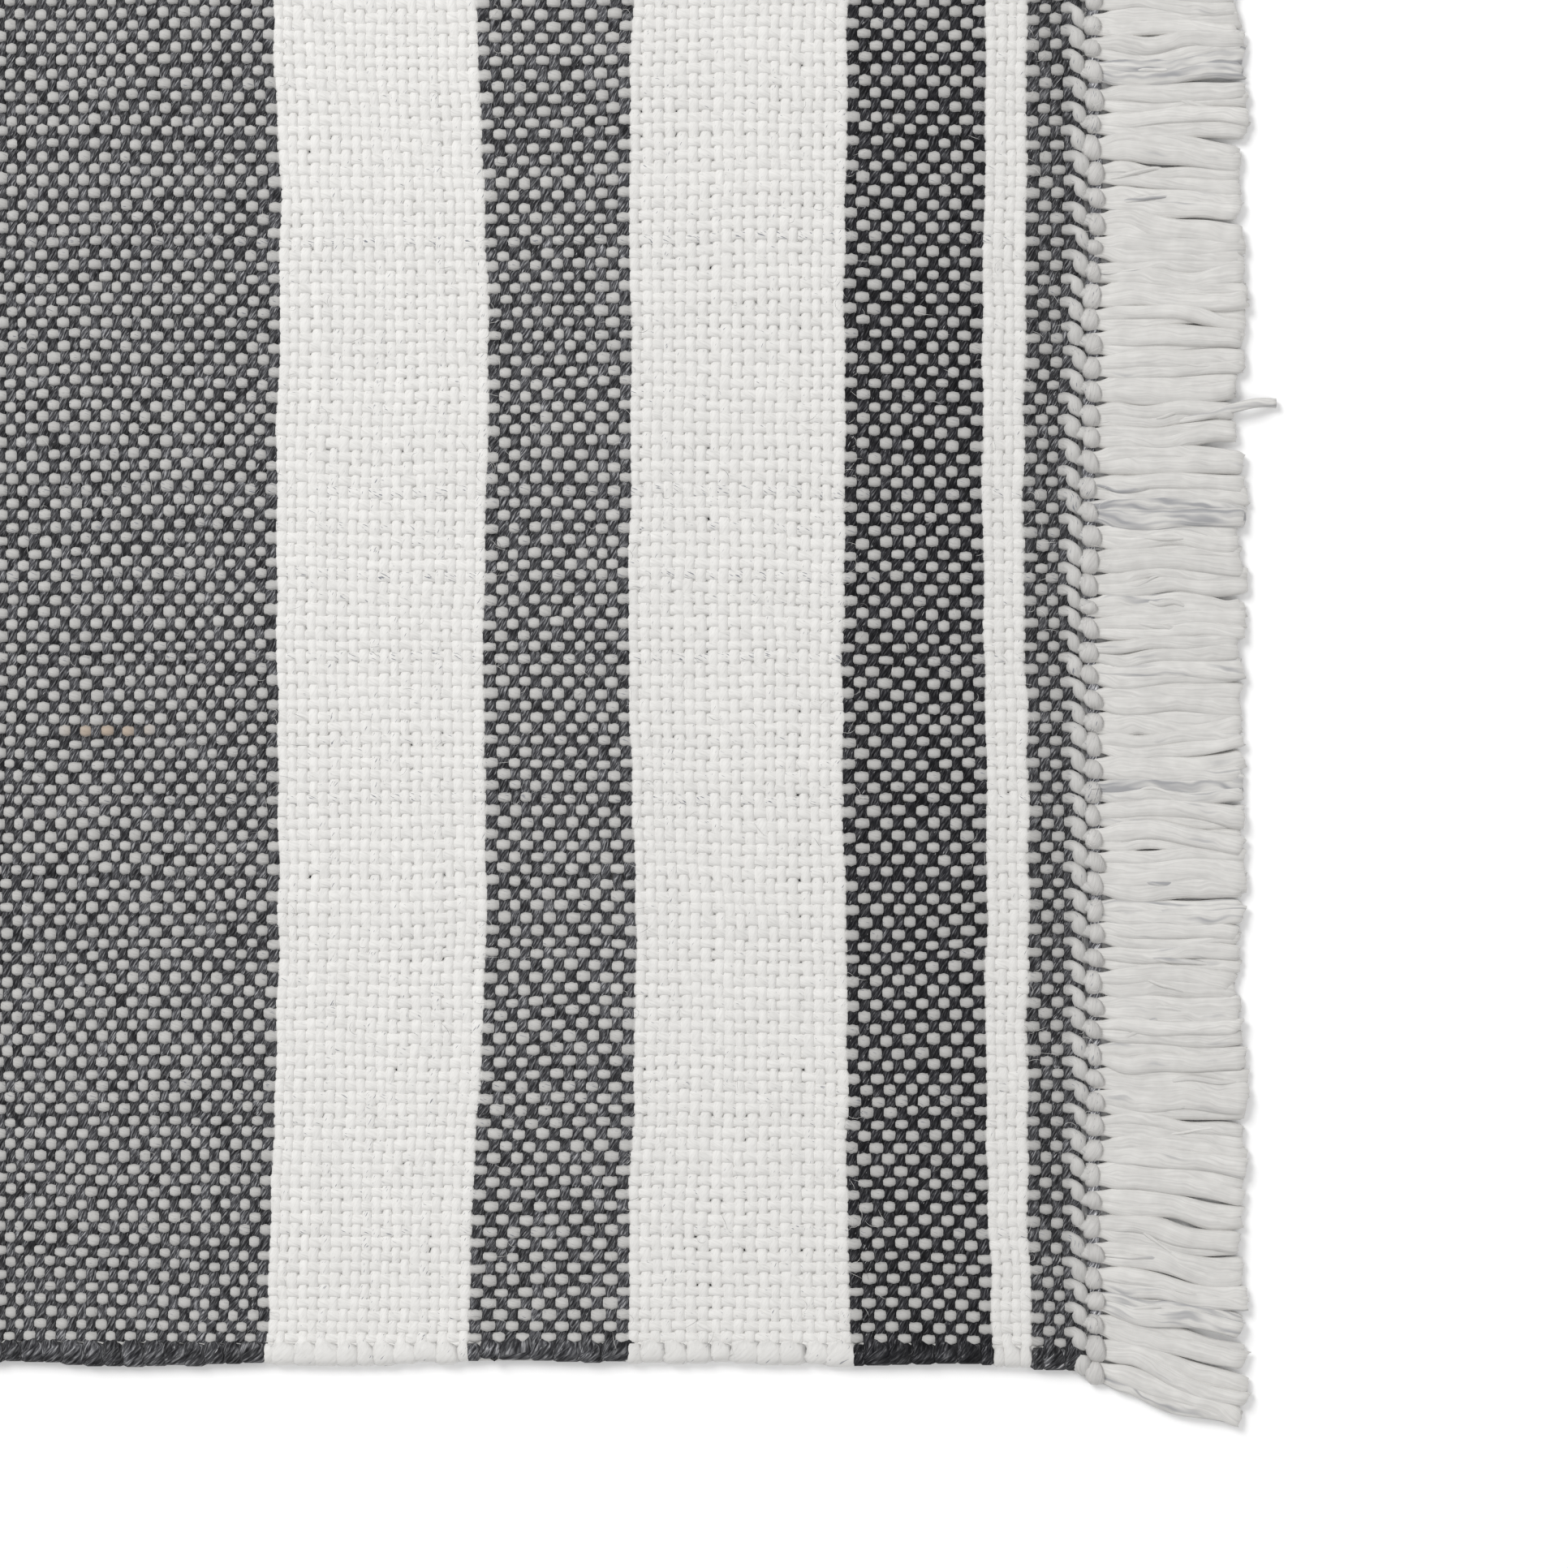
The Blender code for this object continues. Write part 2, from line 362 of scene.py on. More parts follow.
def lay_crossings():
    """X and Y of every crossing, [wefts, warps]: the even grid, each weft leaning out near the selvedges by a
    power of the way there, and all of it drifting by smooth waves and by a little unevenness of each yarn.
    The hitches of the headers draw the end wefts tight against the ones beside them."""
    x = WEFT_X[:, None] + WEFT_LEAN[:, None] * np.abs(WARP_Y / HALF_WIDTH) ** LEAN_POWER
    x[[0, -1]] += [[END_DRAW], [-END_DRAW]]
    y = WARP_Y + flare(x) * np.copysign(np.abs(WARP_Y / HALF_WIDTH) ** 3, WARP_Y)
    edge = np.clip((HALF_WIDTH - np.abs(WARP_Y)) / (30 * MM), 0, 1)
    x_drift = 0.9 * MM * waves(x, y, 11, 0.16) + 0.35 * MM * waves(x, y, 12, 0.035)
    y_drift = (0.9 * MM * waves(x, y, 13, 0.17) + 0.35 * MM * waves(x, y, 14, 0.04)) * edge
    weft_step = RNG.normal(0, 0.16 * MM, WEFTS)[:, None]
    warp_step = (RNG.normal(0, 0.20 * MM, WARPS) * edge)[None, :]
    x_jitter = blurred(RNG.normal(0, 0.26 * MM, x.shape), 1)
    y_jitter = blurred(RNG.normal(0, 0.28 * MM, x.shape), 0) * edge
    return x + x_drift + weft_step + x_jitter, y + y_drift + warp_step + y_jitter


CROSS_X, CROSS_Y = lay_crossings()
WARP_OVER = (np.add.outer(np.arange(WEFTS), np.arange(WARPS)) % 2) == 1
RISE = np.where(WARP_OVER, 1.0, -1.0)
FATNESS = 1 + blurred(RNG.normal(0, 0.11, WARP_OVER.shape), 0) + RNG.normal(0, 0.055, (1, WARPS))
WEFT_FATNESS = 1 + blurred(RNG.normal(0, 0.10, WARP_OVER.shape), 1) + RNG.normal(0, 0.05, (WEFTS, 1))


def ring_plan(dark):
    """Where the rings of a yarn go: for each crossing its number and the offsets from it, three where the
    crossed band is dark, so that each light float is round, and two where it is white."""
    number, offset = [], []
    for crossing, many in enumerate(dark):
        for step in (-0.31, 0.0, 0.31) if many else (-0.24, 0.24):
            number.append(crossing)
            offset.append(step)
    return np.array(number), np.array(offset)


def crown(offset):
    """How much of the swing a yarn keeps at an offset from a crossing: all at 0, three fifths at 0.31."""
    return 1 - 4.2 * offset**2


def along_yarns(values, number, offset):
    """Values at crossings [crossings, yarns] read at rings: each ring's own crossing, moved towards its
    neighbour in proportion to the offset."""
    last = len(values) - 1
    beside = np.clip(number + np.sign(offset).astype(int), 0, last)
    share = np.abs(offset)[:, None]
    return values[number] * (1 - share) + values[beside] * share


FIRST, LAST = 1, WEFTS - 2     # the end wefts lie under the header's hitches, and are crossed by no warp
INNER_WARPS = np.arange(EDGE_WARPS, WARPS - EDGE_WARPS)
UNDER_HITCH = 0.25 * MM        # height above mid cloth of the end wefts
END_TONE = 0.69                # how light the hitching ends of the warps look

# The rest of a warp past the last weft it crosses: way out, way along the header and height, then half width,
# all in millimetres. The warp that ends on top hitches over its neighbour; the other passes under.
HITCHING_END = np.array([
    (1.3, 0.10, 1.10, 1.70),
    (2.2, 0.55, 1.15, 1.70),
    (2.8, 1.40, 1.45, 2.15),
    (3.1, 2.50, 1.60, 2.35),
    (3.5, 3.60, 1.40, 2.25),
    (4.3, 4.60, 0.50, 1.90),
    (5.8, 5.20, -0.50, 1.60),
])
HITCHED_END = np.array([
    (1.2, 0.00, -0.85, 1.80),
    (2.5, 0.05, -0.95, 1.70),
    (3.6, 0.15, -0.70, 1.70),
    (4.3, 0.40, 0.30, 1.75),
    (5.3, 0.80, 0.90, 1.85),
    (6.8, 1.30, 0.85, 1.80),
    (8.6, 1.60, 0.30, 1.60),
])


def warp_end(side):
    """The last stretch of every warp at one end, continued from its last ring: the hitching yarns come from
    the pairs' inner or outer warps by turns of the end, since the header runs the other way at the left."""
    hitching = (np.arange(WARPS) % 2 == 1) if side > 0 else (np.arange(WARPS) % 2 == 0)
    shape = np.where(hitching[:, None, None], HITCHING_END, HITCHED_END)
    last = LAST if side > 0 else FIRST
    base = np.stack([CROSS_X[last], CROSS_Y[last], np.full(WARPS, MID_Z)], axis=-1)
    loose = RNG.normal(0, 0.36, (WARPS // 2, 1, 3)).repeat(2, axis=0) * [1.0, 1.0, 0.3]
    steps = (shape[:, :, :3] + loose * np.linspace(0.3, 1, len(HITCHING_END))[None, :, None]) * MM
    steps = steps * [side, -side, 1.0]
    plump = 1 + RNG.normal(0, 0.09, (WARPS, 1))
    return base[:, None, :] + steps, shape[:, :, 3] * MM * plump


def warp_paths():
    """Centres, half widths, half heights and lightness of all warps [warps, rings], from the hitches of the
    left header over and under the wefts to those of the right one."""
    dark = np.array([BANDS[b].wool != "white" for b in WEFT_BAND])
    number, offset = ring_plan(dark[FIRST:LAST + 1])
    number = number + FIRST
    inside = (number + offset > FIRST - 0.1) & (number + offset < LAST + 0.1)
    number, offset = number[inside], offset[inside]
    x = along_yarns(CROSS_X, number, offset)
    y = along_yarns(CROSS_Y, number, offset)
    pale = (~dark[number]).astype(int)
    z = MID_Z + np.take(WARP_SWING, pale)[:, None] * RISE[number] * crown(offset)[:, None]
    wide = np.take(WARP_SPREAD, pale)[:, None] * FATNESS[number] * (1 - NARROWING * np.abs(offset)[:, None])
    high = np.broadcast_to(WARP_RISE * (1 - np.take(SQUEEZE, pale) * np.abs(offset)), wide.T.shape)
    centres = np.stack([x, y, z], axis=-1).transpose(1, 0, 2)
    left, left_wide = warp_end(-1)
    right, right_wide = warp_end(1)
    centres = np.concatenate([left[:, ::-1], centres, right], axis=1)
    wide = np.concatenate([left_wide[:, ::-1], wide.T, right_wide], axis=1)
    end_high = np.full(left_wide.shape, WARP_RISE)
    high = np.concatenate([end_high, high, end_high], axis=1)
    # the dark bands' warp tones are darker partly as painted shade
    tone = np.array([BANDS[b].warp_tone for b in WEFT_BAND])[number]
    end_tone = np.full(left.shape[1], END_TONE)
    return centres, wide, high, np.concatenate([end_tone, tone, end_tone])


CORE_INSET = 1.5 * MM          # how far the outer warps lie inwards of their rows, and their half sizes
CORE_SPREAD = 1.5 * MM
CORE_RISE = 1.05 * MM
FLECKED_WARPS_Y = np.array([18.7, -5.0, -31.0, -74.0, 96.0]) * MM     # warps with many dark fibres
STAIN_AT = (48 * MM, -54 * MM) # a short stretch of one warp is tan
STAIN_REACH = 13 * MM


def make_warps(material):
    """The warps in groups that share a mesh, each with its transform baked into its points. The outer two at
    each side lie straight in the middle of their selvedge, where the wefts turn round them."""
    centres, wide, high, band_tone_and_shade = warp_paths()
    ends = len(HITCHING_END)
    core = np.setdiff1d(np.arange(WARPS), INNER_WARPS)
    centres[core, ends:-ends, 2] = MID_Z
    centres[core, ends:-ends, 1] -= np.copysign(CORE_INSET, WARP_Y[core])[:, None]
    wide[core, ends:-ends] = CORE_SPREAD
    high[core, ends:-ends] = CORE_RISE
    fleck = np.clip(RNG.exponential(0.16, WARPS), 0, 0.8)
    fleck[np.abs(WARP_Y[:, None] - FLECKED_WARPS_Y).argmin(axis=0)] = 1.0
    tone = 1 + RNG.normal(0, 0.015, WARPS)
    stain = np.zeros(wide.shape)
    stained = np.abs(WARP_Y - STAIN_AT[1]).argmin()
    stain[stained] = np.exp(-((centres[stained, :, 0] - STAIN_AT[0]) / STAIN_REACH) ** 4)
    groups = [("selvedge_warps", core)]
    groups += [(f"warp_yarns_{n + 1}", part) for n, part in enumerate(np.array_split(INNER_WARPS, 6))]
    for name, members in groups:
        level = np.cross((0.0, 0.0, 1.0), np.gradient(centres[members], axis=1))
        points = sweep(centres[members], wide[members], high[members], SECTION_6, level)
        piece = tube_mesh(name, points, {
            "tone": tone[members][:, None, None] * band_tone_and_shade[None, :, None],
            "fleck": np.clip(fleck[members][:, None, None] + 0.7 * (1 - band_tone_and_shade[None, :, None]), 0, 1),
            "stain": stain[members][:, :, None],
        }, material)
        bend_over_fold(piece)
        if name == "selvedge_warps":
            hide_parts(*(f"selvedge_{e}_{h}" for e in ("front", "back") for h in ("left", "right")))


# A turn of the weft round the outer warps, in nine rings: share of the way out, height in millimetres, width
# as a share of the step to the next weft, half thickness in millimetres, share of that step made
TURN = np.array([
    (0.06, 1.00, 0.55, 1.25, 0.10),
    (0.34, 1.42, 0.88, 1.00, 0.42),
    (0.66, 1.42, 1.00, 0.98, 0.50),
    (0.91, 0.95, 0.97, 0.98, 0.50),
    (1.00, 0.00, 0.90, 0.95, 0.50),
    (0.91, -0.95, 0.97, 0.98, 0.50),
    (0.66, -1.42, 1.00, 0.98, 0.50),
    (0.34, -1.42, 0.88, 1.00, 0.58),
    (0.06, -1.00, 0.55, 1.25, 0.90),
])
TURN_TONE = 0.93               # the turns of the weft round the selvedge are a little darker


def weft_turns(picks):
    """Centres, half widths and half thicknesses of a band's turns: before its first weft at the front, then
    after each weft at the back and the front by turns, over the outer warps and back under them."""
    before = np.concatenate([picks[:1], picks])
    after = np.concatenate([picks, picks[-1:]])
    side = np.where(np.arange(len(before)) % 2 == 0, -1.0, 1.0)
    column = np.where(side < 0, EDGE_WARPS, WARPS - 1 - EDGE_WARPS)
    rim = np.where(side < 0, 0, WARPS - 1)
    x_from, x_to = CROSS_X[before, rim], CROSS_X[after, rim]
    pitch = np.abs(np.diff(CROSS_X[picks, 0])).mean()
    step = np.where(before == after, 0.8 * pitch, 1.55 * np.abs(x_to - x_from))
    step = step * (1 + RNG.normal(0, 0.10, len(step)))
    inner = (CROSS_Y[before, column] + CROSS_Y[after, column]) / 2 + side * 0.42 * WARP_PITCH
    edge = HALF_WIDTH + flare(x_from) + 0.8 * MM * waves(x_from, side, 21, 0.09)
    edge = edge - 0.5 * MM + RNG.normal(0, 0.3 * MM, len(step))
    outer = side * (edge - 0.95 * MM)
    x = x_from[:, None] + TURN[:, 4] * (x_to - x_from)[:, None]
    y = inner[:, None] + TURN[:, 0] * (outer - inner)[:, None]
    z = np.broadcast_to(MID_Z + TURN[:, 1] * MM, x.shape)
    lump = 1 + RNG.normal(0, 0.05, x.shape)
    return np.stack([x, y, z], axis=-1), TURN[:, 2] * step[:, None] * lump, TURN[:, 3] * MM * lump


def weft_path(picks, dark):
    """One yarn that weaves a band: across the warps, round the selvedge, and back, weft after weft."""
    number, offset = ring_plan(np.zeros(len(INNER_WARPS), bool))
    number = number + EDGE_WARPS
    pale = int(not dark)
    x = along_yarns(CROSS_X.T[:, picks], number, offset)
    y = along_yarns(CROSS_Y.T[:, picks], number, offset)
    rise = RISE.T[number][:, picks]
    ends = (picks == 0) | (picks == WEFTS - 1)
    height = np.where(ends, UNDER_HITCH, -WEFT_SWING[pale] * rise * crown(offset)[:, None])
    spread = WEFT_SPREAD[pale] * WEFT_FATNESS.T[number][:, picks] * np.where(rise < 0, 1.12, 0.86)
    spread = spread * np.where(ends, 0.82, 1.0)
    legs = np.stack([x, y, MID_Z + height], axis=-1).transpose(1, 0, 2)
    wide = spread.T.copy()
    legs[1::2] = legs[1::2, ::-1]
    wide[1::2] = wide[1::2, ::-1]
    high = np.full(wide.shape, WEFT_RISE)
    turns, turn_wide, turn_high = weft_turns(picks)

    def threaded(turn, leg):
        body = np.concatenate([turn[:-1], leg], axis=1)
        return np.concatenate([body.reshape((-1,) + turn.shape[2:]), turn[-1]])

    return threaded(turns, legs), threaded(turn_wide, wide), threaded(turn_high, high), legs.shape[1]


def make_wefts(wools):
    """Each band's weft as one yarn. The right half of the centre band has its transform baked into its
    points, and every other piece is attached to its half.
    """
    for side, side_name in ((-1, "left"), (1, "right")):
        half = np.arange(WEFTS // 2) if side < 0 else np.arange(WEFTS // 2, WEFTS)
        for number, band in enumerate(BANDS):
            picks = half[WEFT_BAND[half] == number]
            dark = band.wool != "white"
            path, wide, high, leg = weft_path(picks, dark)
            per_row = leg + len(TURN)
            shades = band.weft_tone * (1 + RNG.normal(0, 0.08 if dark else 0.012, len(picks) + 1))
            flecks = np.clip(RNG.exponential(0.22, len(picks) + 1), 0, 1)
            row = np.arange(len(path)) // per_row
            # the rings of each turn are a little darker
            turn_dimming = np.where(np.arange(len(path)) % per_row < len(TURN), TURN_TONE, 1.0)
            points = sweep(path[None], wide[None], high[None], SECTION_6, (1, 0, 0))
            piece = tube_mesh(f"{band.wool}_weft_{band.name}_{side_name}", points, {
                "tone": (shades[row] * turn_dimming)[None, :, None],
                "fleck": flecks[row][None, :, None],
            }, wools[band.wool], per_row)
            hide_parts(f"{band.name}_{side_name}")
            if side > 0 and number == 0:
                bend_over_fold(piece)
            else:
                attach(piece, f"{side_name}_half")


def bend_over_fold(piece):
    """The piece with its transform baked into its points."""
    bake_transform(piece)


# ---- header and fringe

HITCH_OUT = 7.7 * MM           # from the last crossing to the middle of the outer hitches
HITCH_ALONG = 5.3 * MM         # from the hitching warp's row to the middle of its outer hitch, along Y


def hitch_places(side):
    """X and Y of the outer hitch of each pair of warps at one end."""
    last = LAST if side > 0 else FIRST
    hitching = np.arange(1, WARPS, 2) if side > 0 else np.arange(0, WARPS, 2)
    x = CROSS_X[last, hitching] + side * HITCH_OUT
    y = CROSS_Y[last, hitching] - side * HITCH_ALONG
    return x, y


def make_hitches(side, side_name, material):
    """The outer hitches: each an arch across its tassel's root, half a turn of sine and cosine, leaning a
    little outwards along its length."""
    x, y = hitch_places(side)
    count = len(x)
    turn = np.linspace(-1, 1, 9)[None, :]
    loose = RNG.normal(0, 1, (count, 4))
    half_span = (2.45 + 0.36 * loose[:, 0]) * MM
    arch_x = x[:, None] + side * (0.5 + 0.6 * loose[:, 1])[:, None] * MM * turn + 0.35 * MM * loose[:, 2:3]
    arch_y = y[:, None] - side * half_span[:, None] * np.sin(turn * np.pi / 2)
    arch_z = MID_Z + (-1.1 + 2.55 * np.cos(turn * np.pi / 2)) * MM + 0.12 * MM * loose[:, 3:4]
    wide = (2.6 - 0.5 * turn**2) * MM * (1 + RNG.normal(0, 0.09, (count, 1)))
    high = np.full(wide.shape, 1.05 * MM)
    points = sweep(np.stack([arch_x, arch_y, arch_z], axis=-1), wide, high, round_section(8, 2.2), (1, 0, 0))
    piece = tube_mesh(f"outer_hitches_{side_name}", points, {
        "tone": (1 + RNG.normal(0, 0.02, count))[:, None, None],
        "fleck": np.clip(RNG.exponential(0.25, count), 0, 1)[:, None, None],
    }, material)
    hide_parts(f"knotted_header_{side_name}")
    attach(piece, f"{side_name}_half")


HOLE_SHADOW_OUT = 8.0 * MM            # from the last crossing to the grey tube under the outer hitches that paints the shadow in their holes
HOLE_SHADOW_HEIGHT = 1.5 * MM
HOLE_SHADOW_SPREAD = 2.1 * MM
HOLE_SHADOW_RISE = 1.1 * MM
HOLE_SHADOW_TONE = 2.2                # painted shadow: a lighter grey than the bands, as dark as the shade in the holes
HOLE_SHADOW_FLECK = 0.2


def make_painted_hole_shadow(side, side_name, material):
    """Painted shadow for the deep holes between the outer hitches: a flat grey tube under them that follows
    the last crossings, blurred, from one selvedge to the other."""
    last = LAST if side > 0 else FIRST
    inner = slice(1, WARPS - 1)
    x = blurred(blurred(CROSS_X[last], 0), 0)[inner] + side * HOLE_SHADOW_OUT
    centres = np.stack([x, CROSS_Y[last][inner], np.full(len(x), HOLE_SHADOW_HEIGHT)], axis=-1)[None]
    wide = np.full(centres.shape[:2], HOLE_SHADOW_SPREAD)
    high = np.full(centres.shape[:2], HOLE_SHADOW_RISE)
    points = sweep(centres, wide, high, round_section(8, 2.2), (1, 0, 0))
    piece = tube_mesh(f"locking_weft_{side_name}", points, {"tone": HOLE_SHADOW_TONE, "fleck": HOLE_SHADOW_FLECK}, material)
    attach(piece, f"{side_name}_half")


STRAND_SIDES = 14
STRAND_RINGS = 32
STRAND_SPREAD = 3.05 * MM      # half the width of one of a tassel's two strands
STRAND_RISE = 1.85 * MM
STRAND_APART = 1.78 * MM       # half the distance between the two
CORNER_SPLAY = 16 * MM
SPLAY_POWER = 8


def smooth_step(low, high, value):
    """0 up to low, 1 from high on, and 3 s^2 - 2 s^3 of the share s of the way between."""
    share = np.clip((value - low) / (high - low), 0, 1)
    return share * share * (3 - 2 * share)


def drift(root_y, share, side):
    """How far a tassel has strayed along the header by a share of its length: shared slow waves, and a splay
    towards the corners with a high power of the way out to them."""
    out = np.minimum(np.abs(root_y) / HALF_WIDTH, 1.0)
    corner = CORNER_SPLAY * out**SPLAY_POWER * share**1.15
    sway = 2.6 * MM * waves(root_y, share * 20 * MM, 31 + side, 0.11) * share**1.4
    clump = 0.9 * MM * waves(root_y, share * 30 * MM, 35 + side, 0.032) * smooth_step(0.1, 0.6, share)
    return np.copysign(corner, root_y) + (sway + clump) * (1 - 0.75 * out**SPLAY_POWER)


def ripple(rng, count, share, size):
    """A smooth wander along each of count strands: three sines of rising pace and falling size."""
    total = 0.0
    for n in (1, 2, 3):
        depth = rng.normal(0, size / n, (count, 1))
        total = total + depth * np.sin(np.pi * n * 1.3 * share + rng.uniform(0, 6.3, (count, 1)))
    return total


def strand_points(side):
    """The strands of one end, [strands, rings, sides], two to a tassel: loose rovings that leave their hitch
    side by side, widen, wander, ride over each other in places, and are cut blunt and a little askew."""
    rng = np.random.default_rng(41 + side)
    root_x, root_y = hitch_places(side)
    tassels = len(root_x)
    count = 2 * tassels
    x, y = root_x.repeat(2), root_y.repeat(2)
    hand = np.tile([-1.0, 1.0], tassels)[:, None]
    share = np.concatenate([np.linspace(0, 0.97, STRAND_RINGS - 3), [0.985, 0.995, 1.0]])[None, :]

    trim = 1.9 + 1.2 * waves(y, 0 * y, 43 + side, 0.05) + 0.9 * rng.normal(0, 1, tassels).repeat(2)
    trim = np.clip(trim + 0.5 * rng.normal(0, 1, count), 0.2, 8.0) * MM
    reach = TIP_LINE - trim - np.abs(x) - 0.4 * MM
    turn = rng.normal(0, 0.9, tassels).repeat(2)[:, None] * share**1.3
    open_out = 0.66 + 0.34 * smooth_step(0.04, 0.20, share)
    apart = hand * STRAND_APART * np.cos(turn) * open_out
    wander = ripple(rng, count, share, 0.60 * MM) * smooth_step(0.03, 0.3, share)
    wander += ripple(rng, tassels, share, 0.75 * MM).repeat(2, axis=0) * smooth_step(0.03, 0.3, share)

    plump = 1 + 0.11 * rng.normal(0, 1, (count, 1)) + 0.07 * np.sin(
        2 * np.pi * share * rng.uniform(0.8, 2.4, (count, 1)) + rng.uniform(0, 6.3, (count, 1)))
    tip = smooth_step(0.965, 1.0, share)
    wide = STRAND_SPREAD * plump * open_out * (1 - 0.12 * tip)
    high = STRAND_RISE * (1 + 0.07 * rng.normal(0, 1, (count, 1))) * open_out * (1 - 0.35 * tip)
    ride = 0.80 * MM * hand * np.sin(turn) + 0.34 * MM * rng.normal(0, 1, (count, 1))
    ride = ride * smooth_step(0.05, 0.4, share)
    centres = np.stack([
        x[:, None] + side * reach[:, None] * share,
        y[:, None] + drift(y[:, None], share, side) + apart + wander,
        high + 0.35 * MM + 0.5 * (ride + np.abs(ride)) + 0.3 * MM * (1 - share),
    ], axis=-1)

    angle = 2 * np.pi * np.arange(STRAND_SIDES)[None, None, :] / STRAND_SIDES
    swell = np.ones((count, STRAND_RINGS, STRAND_SIDES))
    for lobes, depth in ((2, 0.05), (3, 0.05), (5, 0.035)):
        start = rng.uniform(0, 6.3, (count, 1, 1))
        twist = rng.normal(0, 1.6, (count, 1, 1)) * share[:, :, None]
        swell += depth * np.sin(lobes * angle + start + twist)
    points = sweep(centres, wide, high, round_section(STRAND_SIDES, 2.6), (0, 1, 0), swell)
    askew = rng.normal(0, 0.55, (count, 1, 1)) * np.cos(angle) + rng.normal(0, 0.25, (count, 1, STRAND_SIDES))
    points[..., 0] += side * MM * askew * smooth_step(0.93, 1.0, share)[:, :, None]
    return points


GREY_TASSELS_Y = np.array([15.0, -71.0, -107.0, -228.0, 150.0]) * MM     # near these, roving is streaked grey


def make_tassels(side, side_name, material):
    """The tassels of one end in the CAD's groups, each group with its transform baked into its points."""
    points = strand_points(side)
    tassels = len(points) // 2
    rng = np.random.default_rng(47 + side)
    root_y = hitch_places(side)[1].repeat(2)
    tone = 1 + rng.normal(0, 0.02, len(points))
    near = np.exp(-((root_y[:, None] - side * GREY_TASSELS_Y) / (4 * MM)) ** 2).max(axis=1)
    grey = np.clip(rng.exponential(0.13, len(points)) + near * rng.uniform(0.3, 1.1, len(points)), 0, 1)
    groups = sorted(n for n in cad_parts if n.startswith(f"tassels_{side_name}_"))
    for number, node_name in enumerate(groups):
        first = 2 * round(number * tassels / len(groups))
        last = 2 * round((number + 1) * tassels / len(groups))
        piece = tube_mesh(f"soft_{node_name}", points[first:last], {
            "tone": tone[first:last, None, None],
            "fleck": grey[first:last, None, None],
        }, material)
        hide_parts(node_name)
        bend_at_header(piece)


def bend_at_header(piece):
    """The piece with its transform baked into its points."""
    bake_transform(piece)


WISPS = 40
LONG_WISP_Y = 47 * MM          # one strand was missed by the shears, and sticks out


def make_wisps(side, side_name, material):
    """Thin strands that have come away from the tassels and lie across them, a few at each end. They start
    inside a tassel, rise over its neighbours, and sink again, but for one that ends past the tips."""
    rng = np.random.default_rng(53 + side)
    root_x, root_y = hitch_places(side)
    pick = rng.permutation(len(root_y))[:WISPS]
    share = np.linspace(0, 1, 24)[None, :]
    start = rng.uniform(0.0, 0.45, (WISPS, 1))
    finish = np.minimum(start + rng.uniform(0.3, 0.6, (WISPS, 1)), 0.97)
    across = rng.normal(0, 3.2, (WISPS, 1)) * MM
    pick[0] = np.abs(root_y - side * LONG_WISP_Y).argmin()
    start[0], finish[0], across[0] = 0.5, 1.17, 3.5 * MM
    along = start + (finish - start) * share
    length = TIP_LINE - np.abs(root_x[pick])[:, None]
    y = root_y[pick][:, None] + drift(root_y[pick][:, None], along, side)
    y = y + across * (smooth_step(0, 1, share) - 0.4) + ripple(rng, WISPS, share, 0.5 * MM)
    z = (2.2 + 1.9 * np.sin(np.pi * share) ** 0.5).repeat(WISPS, axis=0) * MM
    z[0] = (2.4 + 1.6 * smooth_step(0.0, 0.35, share[0]) - 2.2 * smooth_step(0.7, 1.0, share[0])) * MM
    wide = rng.uniform(0.45, 0.95, (WISPS, 1)) * MM * (0.35 + 0.65 * np.sin(np.pi * share) ** 0.6)
    wide[0] = 1.5 * MM * (0.5 + 0.5 * np.sin(np.pi * np.minimum(share[0], 0.5)) ** 0.6)
    centres = np.stack([root_x[pick][:, None] + side * length * along, y, z], axis=-1)
    swell = 1 + 0.12 * np.sin(2 * np.pi * np.arange(8) / 8 * 3 + 9 * share[:, :, None])
    points = sweep(centres, wide, 0.75 * wide, round_section(8), (0, 1, 0), swell)
    piece = tube_mesh(f"wisps_{side_name}", points, {
        "tone": (1 + rng.normal(0, 0.03, WISPS))[:, None, None],
        "fleck": np.clip(rng.exponential(0.4, WISPS), 0, 1)[:, None, None],
    }, material)
    bend_at_header(piece)


FIBRES = 1000                  # on each half
FIBRE_THICKNESS = 0.09 * MM


